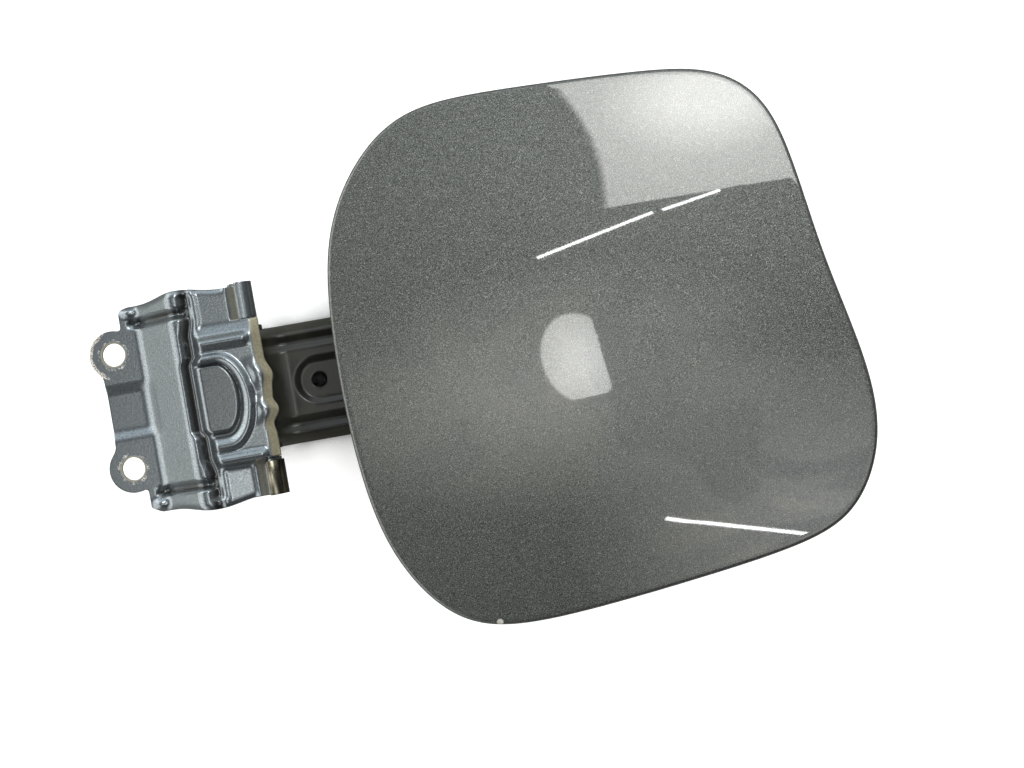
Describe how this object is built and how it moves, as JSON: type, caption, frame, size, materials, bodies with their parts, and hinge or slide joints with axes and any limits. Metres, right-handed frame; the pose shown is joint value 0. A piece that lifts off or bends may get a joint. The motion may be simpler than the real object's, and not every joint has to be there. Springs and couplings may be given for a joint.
{
  "type": "car fuel door",
  "caption": "Crowned fuel door with a hemmed rim on a gooseneck arm, hinged on a pressed bracket with two bolt ears.",
  "frame": {"origin": "midway between the two bolt holes, on the face of the ears that seats on the car body", "axes": "+X from the bolt line along the arm to the free edge of the door, +Y along the hinge pin, +Z out of the car body"},
  "size_m": [0.229, 0.1568, 0.051],
  "materials": {
    "body_paint": "graphite metallic paint under gloss clear coat",
    "inner_paint": "graphite paint, thinner and less glossy than the outside",
    "arm_paint": "near-black gloss dip paint",
    "bracket_paint": "grey gloss paint, scuffed at the bolt ears",
    "plated_steel": "zinc plated steel",
    "spring_steel": "bare tempered spring steel with a bronze tint",
    "bush_plastic": "natural bearing plastic",
    "buffer_rubber": "moulded black rubber",
    "mastic": "cured black mastic",
    "holder_plastic": "fine-grained black plastic"
  },
  "bodies": {
    "bracket": {"hinge_bracket": "bracket_paint", "hinge_pin": "plated_steel", "knuckle_spring": "spring_steel"},
    "door": {"outer_skin": "body_paint", "inner_panel": "inner_paint", "flutter_mastic": "mastic", "hinge_arm": "arm_paint", "upper_bush": "bush_plastic", "lower_bush": "bush_plastic", "latch_striker": "plated_steel", "striker_rivets": "plated_steel", "upper_buffer": "buffer_rubber", "lower_buffer": "buffer_rubber", "cap_holder": "holder_plastic"}
  },
  "joints": [
    {"name": "door_hinge", "type": "hinge", "parent": "bracket", "child": "door", "pos_m": [0.0416, 0, 0.0044], "axis": [0, -1, 0], "range_deg": [0, 95]}
  ]
}
